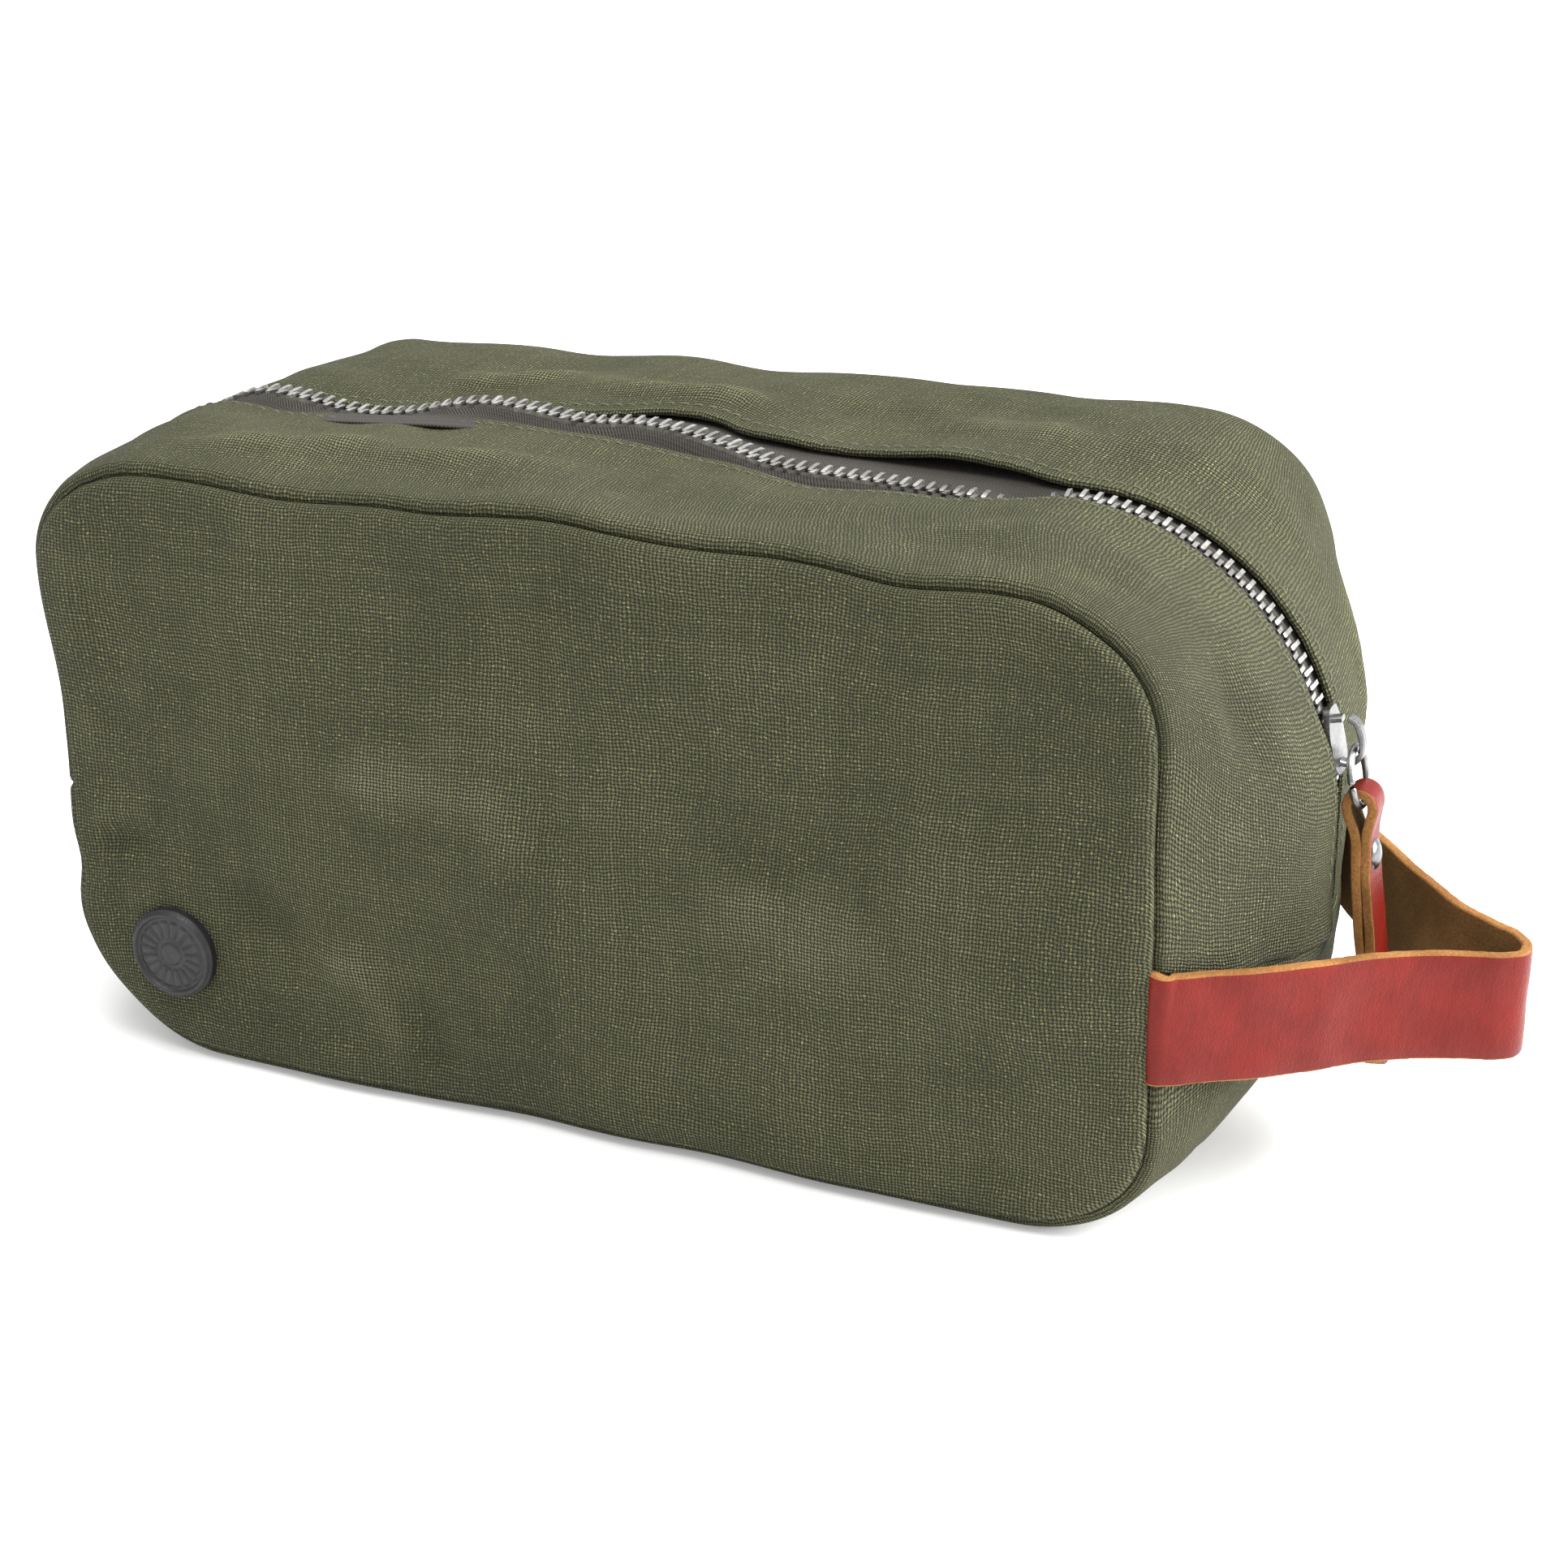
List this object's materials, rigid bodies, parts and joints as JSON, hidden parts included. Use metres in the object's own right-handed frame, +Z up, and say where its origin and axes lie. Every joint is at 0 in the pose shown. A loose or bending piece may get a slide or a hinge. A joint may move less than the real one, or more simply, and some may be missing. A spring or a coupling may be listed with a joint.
{
  "type": "toiletry bag",
  "caption": "Canvas toiletry bag with a flat base, bulging ends, a metal zip over the top, a leather wrist strap and a leather zip pull.",
  "frame": {"origin": "middle of the flat base, on the surface the bag stands on", "axes": "+X along the bag towards the end with the strap, -Y towards the front panel, +Z up"},
  "size_m": [0.3263, 0.1282, 0.137],
  "materials": {
    "canvas": "waxed olive canvas, matt",
    "lining": "plain woven cotton, matt",
    "binding": "woven tape, matt",
    "zip_tape": "herringbone woven tape, matt",
    "zip_metal": "bright",
    "hardware": "bright nickel",
    "leather": "red grained leather with raw tan edges",
    "badge_metal": "matt black"
  },
  "bodies": {
    "bag": {"front_panel": "canvas", "back_panel": "canvas", "bottom_gusset": "canvas", "top_gusset_front": "canvas", "top_gusset_back": "canvas", "lining_front_panel": "lining", "lining_back_panel": "lining", "lining_top_front": "lining", "lining_top_back": "lining", "lining_bottom": "lining", "seam_binding_front": "binding", "seam_binding_back": "binding", "zip_tape_front": "zip_tape", "zip_tape_back": "zip_tape", "zip_teeth_front": "zip_metal", "zip_teeth_back": "zip_metal", "zip_top_stop_front": "zip_metal", "zip_top_stop_back": "zip_metal", "zip_bottom_stop": "zip_metal", "handle_strap": "leather", "badge": "badge_metal", "badge_backing": "hardware"},
    "slider": {"zip_slider": "hardware"},
    "ring": {"pull_ring": "hardware"},
    "tab": {"pull_tab": "leather", "rivet_cap": "hardware", "rivet_washer": "hardware"}
  },
  "joints": [
    {"name": "zip_travel", "type": "hinge", "parent": "bag", "child": "slider", "pos_m": [0.0835, 0, 0.077], "axis": [0, -1, 0], "range_deg": [-6, 70], "deforming": ["zip_teeth_front", "zip_teeth_back"]},
    {"name": "pull_ring_swing", "type": "hinge", "parent": "slider", "child": "ring", "pos_m": [0.14657, 0, 0.08972], "axis": [0, -1, 0], "range_deg": [-2, 15]},
    {"name": "pull_tab_swing", "type": "hinge", "parent": "ring", "child": "tab", "pos_m": [0.14927, 0, 0.07803], "axis": [0, -1, 0], "range_deg": [-3, 10]}
  ]
}
